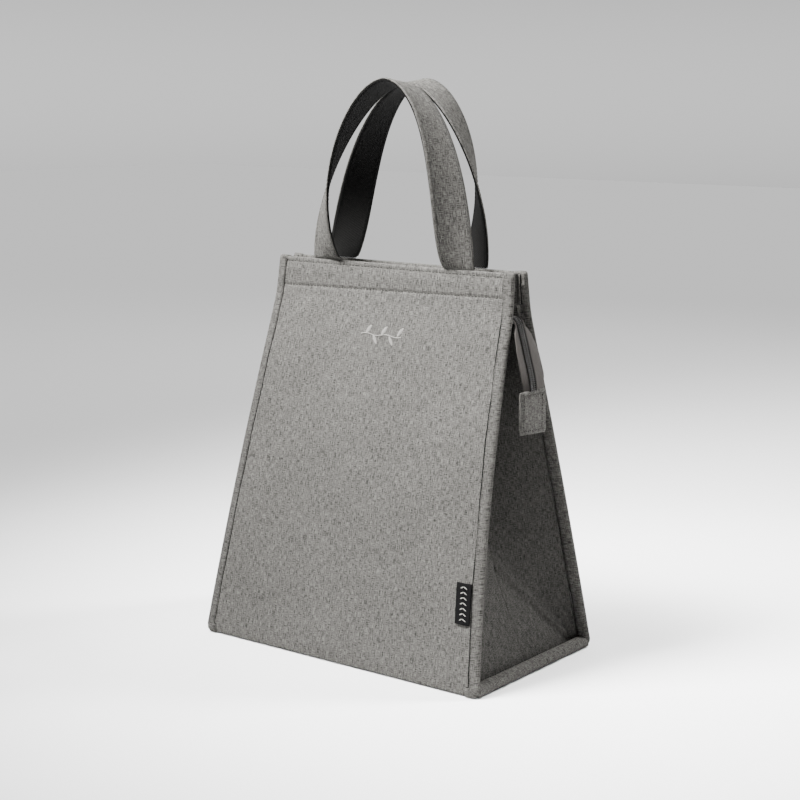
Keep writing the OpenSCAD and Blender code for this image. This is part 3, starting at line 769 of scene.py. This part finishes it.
def build_zip_half(which):
    side = SIDES[which]
    body = which + "_panel"
    xs = steps(-96.0, 66.0, 90)
    # tape: flat against the lining, round a soft bend, then level to the coil
    z_bend, bend_r = 256.0, 2.7
    wall_y = -(half_depth(steps(260.8, 256.2, 6)) - WALL - 0.35)
    y_bend = -(half_depth(z_bend) - WALL - 0.35)
    turn = steps(0, math.pi / 2, 8)[1:]
    level_y = steps(y_bend + bend_r + 0.6, -2.0, 8)
    prof_y = np.concatenate([wall_y, y_bend + bend_r * (1 - np.cos(turn)), level_y])
    prof_z = np.concatenate([steps(260.8, 256.2, 6), z_bend - bend_r * np.sin(turn), level_y * 0 + ZIP_TOP])
    prof = np.stack([prof_y, prof_z], 1)
    grid = np.zeros((len(xs), len(prof), 3))
    grid[..., 0] = xs[:, None]
    grid[..., 1] = prof[None, :, 0]
    grid[..., 2] = prof[None, :, 1] + 0.10 * wander(xs[:, None], prof[None, :, 0], 101, 30)
    piece = shell(which + "_zip_tape_band", flip_y(grid, side), 0.5, tape_mat, flip=side < 0)
    stand_in(piece, which + "_zip_tape", "zip_tape", body)
    path = np.stack([steps(-88, 65.6, 100), np.full(100, -1.6 * side), np.full(100, COIL_Z)], -1)
    tooth_row(which + "_coil_teeth", path, (0, 0, 1), 2.6, body, which + "_coil", sides=(0,), pitch=1.3)
    pts = np.stack([xs, np.full(90, -4.2 * side), np.full(90, 253.75)], -1)
    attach(stitches(which + "_coil_seam", pts, (0, 0, 1), 1.6, grey_thread, width=0.4, height=0.15), body)


for which in SIDES:
    build_zip_half(which)


def build_exit():
    xs = steps(66.4, 99.7, 30)
    for k, tag in ((-1, "a"), (1, "b")):
        ys = steps(2.2, 8.4, 8)
        X, Y = np.meshgrid(xs, ys, indexing="ij")
        grid = np.stack([X, Y * k, ZIP_TOP + 0 * X], -1)
        piece = shell(f"zip_exit_tape_{tag}", grid, 0.5, tape_mat, flip=k < 0)
        stand_in(piece, "zip_exit_tapes", "zip_tape", "base")
    path = np.stack([steps(66.6, 99.6, 30), np.zeros(30), np.full(30, COIL_Z)], -1)
    tooth_row("zip_exit_teeth", path, (0, 0, 1), 5.4, "base", "zip_exit_coil")


build_exit()


TAIL_ROOT_X, TAIL_REACH, TAIL_DROP = 100.3, 18.0, 61.0
TAIL_END = math.radians(82)


def tail_point(a):
    """x and z of the tail, an oval quarter turn down from the zip's end."""
    return np.array([TAIL_ROOT_X + TAIL_REACH * math.sin(a), COIL_Z - TAIL_DROP * (1 - math.cos(a))])


def tail_frame(a):
    """x and z of the tail, and its outward direction there."""
    d = np.array([TAIL_REACH * math.cos(a), -TAIL_DROP * math.sin(a)])
    d /= np.linalg.norm(d)
    return tail_point(a), np.array([-d[1], d[0]])


def tape_edge(frac, near):
    """Width of each tape from the coil's middle, drawn in just above the tab."""
    if near:
        return np.interp(frac, (0, 0.28, 0.42, 0.6, 0.78, 0.93, 1), (6.8, 6.6, 10.4, 12.6, 12.8, 8.6, 9.4))
    return np.interp(frac, (0, 0.27, 0.42, 0.65, 0.85, 1), (8.0, 8.8, 15.2, 19.0, 17.6, 12.6))


def tail_shift(frac):
    """The tail bends a little towards the front on its way down."""
    rise = min(1.0, max(0.0, (frac - 0.10) / 0.40))
    fall = min(1.0, max(0.0, (frac - 0.60) / 0.40))
    return -4.2 * rise * rise * (3 - 2 * rise) * (1 - fall * fall * (3 - 2 * fall))


def build_tail():
    angles = steps(0, TAIL_END, 60)
    for k, tag in ((-1, "near"), (1, "far")):
        grid = np.zeros((len(angles), 12, 3))
        for i, a in enumerate(angles):
            p, n = tail_frame(a)
            frac = i / (len(angles) - 1)
            w = tape_edge(frac, k < 0)
            for j, q in enumerate(steps(0, 1, 12)):
                y = 2.0 + (w - 2.0) * q
                if k < 0:
                    pinch = -2.6 * math.exp(-(((frac - 0.92) / 0.10) ** 2)) + 1.3 * math.sin(math.pi * frac)
                else:
                    pinch = -2.4 * math.sin(math.pi * min(1, frac * 1.05))
                bulge = p + n * (0.35 + pinch * q * q)
                grid[i, j] = (bulge[0], k * y + tail_shift(frac), bulge[1])
        piece = shell(f"tail_tape_{tag}", grid, 0.5, tape_mat, flip=k < 0,
                      uv=np.stack([lengths(grid, 1) + 5, lengths(grid, 0)], -1))
        stand_in(piece, "tail_tapes", "zip_tape", "zip_tail")
    path, normals = [], []
    for a in steps(0.01, TAIL_END, 60):
        p, n = tail_frame(a)
        path.append((p[0] + n[0] * 0.5, tail_shift(a / TAIL_END), p[1] + n[1] * 0.5))
        normals.append((n[0], 0, n[1]))
    path, normals = np.array(path), np.array(normals)
    tooth_row("tail_coil_teeth", path, normals, 5.6, "zip_tail", "tail_coil")
    # painted shade: dark cords along both sides of the coil stand for the shadow in its recesses; the outer
    # rows are stitches
    for k, tag in ((-1, "a"), (1, "b")):
        line = path + (0, k * 3.5, 0) + normals * 0.05
        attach(cord(f"tail_coil_valley_{tag}", line, (1, 0, 0), 0.85, 0.3, thread_and_shade_mat), "zip_tail")
        line = path + (0, k * 5.0, 0) + normals * 0.08
        seam = stitches(f"tail_coil_seam_{tag}", line, normals, 1.9, tape_mat, width=0.6, height=0.3)
        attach(seam, "zip_tail")
    # tab: a folded strip of cloth, a little frayed at its lower corner
    end = tail_point(TAIL_END)
    z1, z0 = end[1] + 3, end[1] - 28
    rings = []
    for q in steps(0, 1, 40):
        z = z0 + (z1 - z0) * q
        w = 16.0 + 0.35 * wander(np.array([z]), np.array([0.0]), 111, 18)[0]
        lean = -0.6 * (q - 0.5)
        t = 1.75 * (0.35 + 0.65 * min(1.0, min(q, 1 - q) * 9) ** 0.5)
        slant = 1.1 * (1 - q)
        ring = []
        for a in np.arange(28) * 2 * math.pi / 28:
            y = w * math.copysign(abs(math.cos(a)) ** 0.35, math.cos(a))
            x = end[0] + lean + t * math.copysign(abs(math.sin(a)) ** 0.6, math.sin(a))
            x += 0.175 * math.sin(y * 0.33 + z * 0.12)
            ring.append((x, y, z - slant * y / 16 * 0.9))
        rings.append(ring)
    piece = loft("tail_tab_cloth", rings, strap_mat)
    stand_in(piece, "tail_tab", "heather_cloth", "zip_tail")
    y, z = steps(-14, 14, 20), steps(z0 + 3, z1 - 3, 16)
    seams = {
        "seam_top": np.stack([end[0] + 1.95 + 0 * y, y, z1 - 2.6 + 0 * y], -1),
        "seam_low": np.stack([end[0] + 1.95 + 0 * y, y, z0 + 3 - 0.05 * y], -1),
        "side_a": np.stack([end[0] + 1.9 + 0 * z, -13.6 + 0 * z, z], -1),
        "side_b": np.stack([end[0] + 1.9 + 0 * z, 0.72 * 13.6 + 0 * z, z], -1),
    }
    for tag, pts in seams.items():
        seam = stitches(f"tail_tab_{tag}", pts, (1, 0, 0), 2.4, seam_shadow, width=0.55, height=0.2)
        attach(seam, "zip_tail")
    # frayed threads at the cut corner
    n = 9
    r = np.random.default_rng(5)
    x, y, z = r.uniform(-0.5, 1.2, n), r.uniform(-16.5, -13, n), r.uniform(-1.2, 0.8, n)
    centres = np.column_stack([end[0] + x, y, z0 + 0.6 + z])
    dirs = np.column_stack([r.uniform(-0.5, 0.5, n), r.uniform(-0.9, 0.2, n), r.uniform(-1, -0.4, n)])
    out = np.tile((1.0, 0, 0.1), (n, 1))
    fray = capsules("tail_tab_fray", centres, dirs, out, r.uniform(2, 3.6, n), 0.28, 0.14, grey_thread)
    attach(fray, "zip_tail")


build_tail()


# ---------------------------------------------------------------- handles
FOOT_Y, CROWN_Y, FOOT_Z = -8.0, -13.45, 285.3
ARCH_H, ARCH_W, SKEW, BOW = 130.0, 59.7, 5.6, 8.0
STRAP_W, WEB_T, COVER_T = 26.0, 1.3, 0.9
STRAP_T = WEB_T + COVER_T


def arch_point(a):
    s, c = math.sin(a), math.cos(a)
    lift = s**0.7 if s > 0 else 0.0
    return np.array([
        math.copysign(ARCH_W * abs(c) ** 1.11, c) + SKEW * s,
        FOOT_Y + (CROWN_Y - FOOT_Y) * s - BOW * math.sin(math.pi * lift),
        FOOT_Z + ARCH_H * s,
    ])


def arch_frame(a):
    e = math.radians(0.5)
    if a < 2 * e:
        t = np.array([0, 0, 1.0])
    elif a > math.pi - 2 * e:
        t = np.array([0, 0, -1.0])
    else:
        t = arch_point(min(math.pi, a + e)) - arch_point(max(0, a - e))
        t /= np.linalg.norm(t)
    y = np.array([0, 1.0, 0])
    n = y - t * (t @ y)
    n /= np.linalg.norm(n)
    b = np.cross(n, t)
    twist = math.radians(97 * max(0.0, math.sin(a)) ** 0.7)
    w = b * math.cos(twist) + n * math.sin(twist)
    g = np.cross(w, t)
    return arch_point(a), w, g / np.linalg.norm(g)


def arch_stations():
    """Places along a handle, closer together near its feet."""
    for u in steps(-1, 1, 150):
        a = math.pi / 2 + math.pi / 2 * math.copysign(1 - (1 - abs(u)) ** 1.5, u)
        yield arch_frame(max(0.0, min(math.pi, a)))


def strap_rings(t0, t1, half_w):
    """Rings of one layer of the strap, between depths t0 and t1 under its outer face."""
    rings = []
    o0, o1 = STRAP_T / 2 - t0, STRAP_T / 2 - t1
    qs = steps(-1, 1, 15)
    for p, w, g in arch_stations():
        ring = [p + w * half_w * q + g * (o0 - (0.175 if abs(q) > 0.99 else 0)) for q in qs]
        ring += [p + w * half_w * q + g * (o1 + (0.05 if abs(q) > 0.99 else 0)) for q in qs[::-1]]
        rings.append(ring)
    return np.array(rings)


def build_handle(which):
    side = SIDES[which]
    body = which + "_handle"
    for layer, t0, t1, half_w, mat, slot in (
        ("cloth", 0.0, COVER_T + 0.05, STRAP_W / 2, strap_mat, "heather_cloth"),
        ("webbing", COVER_T, STRAP_T, STRAP_W / 2 - 0.35, web_mat, "webbing"),
    ):
        rings = flip_y(strap_rings(t0, t1, half_w), side)
        if side < 0:
            rings = rings[:, ::-1]
        piece = loft(f"{which}_handle_{layer}_strap", rings, mat)
        stand_in(piece, f"{which}_handle_{layer}", slot, body)
    for q, tag in ((-1, "inner"), (1, "outer")):
        for face, end, mat in ((1, "out", grey_thread), (-1, "in", web_mat)):
            pts, ns = [], []
            for p, w, g in arch_stations():
                pts.append(p + w * q * (STRAP_W / 2 - 2.4) + g * face * (STRAP_T / 2 + 0.02))
                ns.append(g * face)
            pts, ns = flip_y(pts, side), flip_y(ns, side)
            name = f"{which}_handle_seam_{tag}_{end}"
            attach(stitches(name, pts, ns, 3.0, mat, width=0.5, height=0.2), body)


for which in SIDES:
    build_handle(which)


# ---------------------------------------------------------------- trim
def build_label():
    width = 12.0
    zs, us = steps(48.0, 76.0, 24), steps(0, 1, 18)
    U, Z = np.meshgrid(us, zs, indexing="ij")
    x = half_width(Z) - 7.4 - width * U
    lift = 0.25 + 0.45 * np.sin(math.pi * U).clip(0) ** 0.8 + 0.4 * U
    y = outer_y(x, Z) - lift - 0.55
    grid = np.stack([x, y, Z], -1)
    piece = shell("side_label_weave", grid, 0.5, label_mat, uv=np.stack([U * width, Z], -1), flip=True)
    cloth_piece(piece)
    stand_in(piece, "side_label", "label_satin", "woven_label")
    # woven pattern of small chevrons
    centres, dirs = [], []
    for i in range(7):
        z = 51.2 + i * 3.6
        for k in (-1, 1):
            u = 0.5 + k * 0.12
            x = half_width(z) - 7.4 - width * u
            lift = 0.25 + 0.45 * math.sin(math.pi * u) ** 0.8 + 0.4 * u
            centres.append((x, outer_y(np.array([x]), np.array([z]))[0] - lift - 0.56, z))
            dirs.append((-k * 1.0, 0, -0.62))
    out = np.tile((0, -1.0, 0), (len(centres), 1))
    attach(capsules("side_label_chevrons", centres, dirs, out, 3.3, 0.85, 0.12, light_thread), "woven_label")


build_label()


def build_motif():
    """Small embroidered sprig in satin stitch."""
    centres, dirs, lens = [], [], []
    for x in np.arange(-18, 18.1, 1.15):
        centres.append((x, 234 + 0.6 * math.sin(x * 0.35)))
        dirs.append((1, 0.25))
        lens.append(1.5)
    for i in range(-2, 3):
        up = 1 if i % 2 == 0 else -1
        base = np.array([i * 7.2, 234.0])
        d = np.array([math.cos(math.radians(55)), up * math.sin(math.radians(55))])
        n = np.array([-d[1], d[0]])
        for q in steps(0.6, 7.4, 12):
            w = 1.5 * math.sin(math.pi * q / 8.0) ** 0.7
            centres.append(tuple(base + d * q))
            dirs.append(tuple(n + d * 0.35))
            lens.append(2 * w + 0.2)
    x, z = np.array(centres).T
    dx, dz = np.array(dirs).T
    centres = np.column_stack([x, outer_y(x, z) - 0.15, z])
    dirs = np.column_stack([dx, dx * 0, dz])
    piece = capsules("front_sprig", centres, dirs, surface_normal(x, z), lens, 0.62, 0.3, light_thread)
    stand_in(piece, "front_motif", "thread", "front_panel")


build_motif()

# CAD nodes that stay as they are
for names, mat in (
    (("slider", "slider_pull", "front_top_stop", "back_top_stop", "tail_bottom_stop"), metal_mat),
    (("base_board", "front_stiffener", "back_stiffener"), board_mat),
    (("front_handle_feet", "back_handle_feet"), strap_mat),
):
    for obj in bpy.data.objects:
        if obj.type == "MESH" and obj.name.split(".")[0] in names:
            obj.data.materials.clear()
            obj.data.materials.append(mat)

# ---------------------------------------------------------------- stage
def build_stage():
    floor_mat = plain("floor", (0.85, 0.85, 0.85), rough=0.95, specular=0.0)
    mesh = bpy.data.meshes.new("floor")
    s, z = 6.0, -0.0004
    mesh.from_pydata([(-s, -s, z), (s, -s, z), (s, s, z), (-s, s, z)], [], [(0, 1, 2, 3)])
    mesh.materials.append(floor_mat)
    floor = bpy.data.objects.new("floor", mesh)
    bpy.context.scene.collection.objects.link(floor)

    def area(name, where, aim, size, power, spread=180):
        light = bpy.data.lights.new(name, "AREA")
        light.shape = "RECTANGLE"
        light.size = light.size_y = size
        light.energy = power
        light.spread = math.radians(spread)
        obj = bpy.data.objects.new(name, light)
        obj.location = where
        obj.rotation_euler = (Vector(aim) - Vector(where)).to_track_quat("-Z", "Y").to_euler()
        bpy.context.scene.collection.objects.link(obj)

    area("key", (-0.33, -0.54, 1.20), (0, 0, 0.50), 0.5, 21, spread=62)
    area("fill", (-0.55, 1.35, 1.15), (0, 0, 0.15), 0.9, 7)
    area("low", (0.55, 0.62, 1.15), (0.12, 0, 0.04), 0.2, 3.0, spread=50)
    world = bpy.data.worlds.new("world")
    world.use_nodes = True
    tree = world.node_tree
    sky = tree.nodes["Background"]
    sky.inputs[0].default_value = (1, 1, 1, 1)
    ray = put(tree, "ShaderNodeSeparateXYZ", [(0, put(tree, "ShaderNodeTexCoord").outputs["Generated"])])
    height = ray.outputs[2]
    fall = math_node(tree, "POWER", math_node(tree, "MULTIPLY", height, 9.0), 2.0)
    glow = math_node(tree, "EXPONENT", math_node(tree, "MULTIPLY", fall, -1.0))
    above = math_node(tree, "POWER", math_node(tree, "MAXIMUM", height, 0.0), 2.0)
    above = math_node(tree, "MULTIPLY", above, 2.6)
    left = math_node(tree, "SUBTRACT", 0.6, math_node(tree, "MULTIPLY", ray.outputs[0], 0.4))
    dome = math_node(tree, "MULTIPLY", math_node(tree, "ADD", above, 0.22), left)
    strength = math_node(tree, "ADD", math_node(tree, "MULTIPLY", glow, 0.68), dome)
    tree.links.new(strength, sky.inputs[1])
    bpy.context.scene.world = world

    cam = bpy.data.cameras.new("camera")
    cam.sensor_width = 36
    cam.lens = 78.29
    cam.clip_start, cam.clip_end = 0.01, 50
    az, el, dist, roll = math.radians(37.007), math.radians(10.148), 1.2874, math.radians(0.345)
    target = Vector((0.0020, 0, 0.1835))
    back = Vector((math.sin(az) * math.cos(el), -math.cos(az) * math.cos(el), math.sin(el)))
    obj = bpy.data.objects.new("camera", cam)
    obj.location = target + back * dist
    quat = (-back).to_track_quat("-Z", "Y")
    obj.rotation_mode = "QUATERNION"
    obj.rotation_quaternion = quat @ Quaternion((0, 0, 1), roll)
    bpy.context.scene.collection.objects.link(obj)
    bpy.context.scene.camera = obj


build_stage()
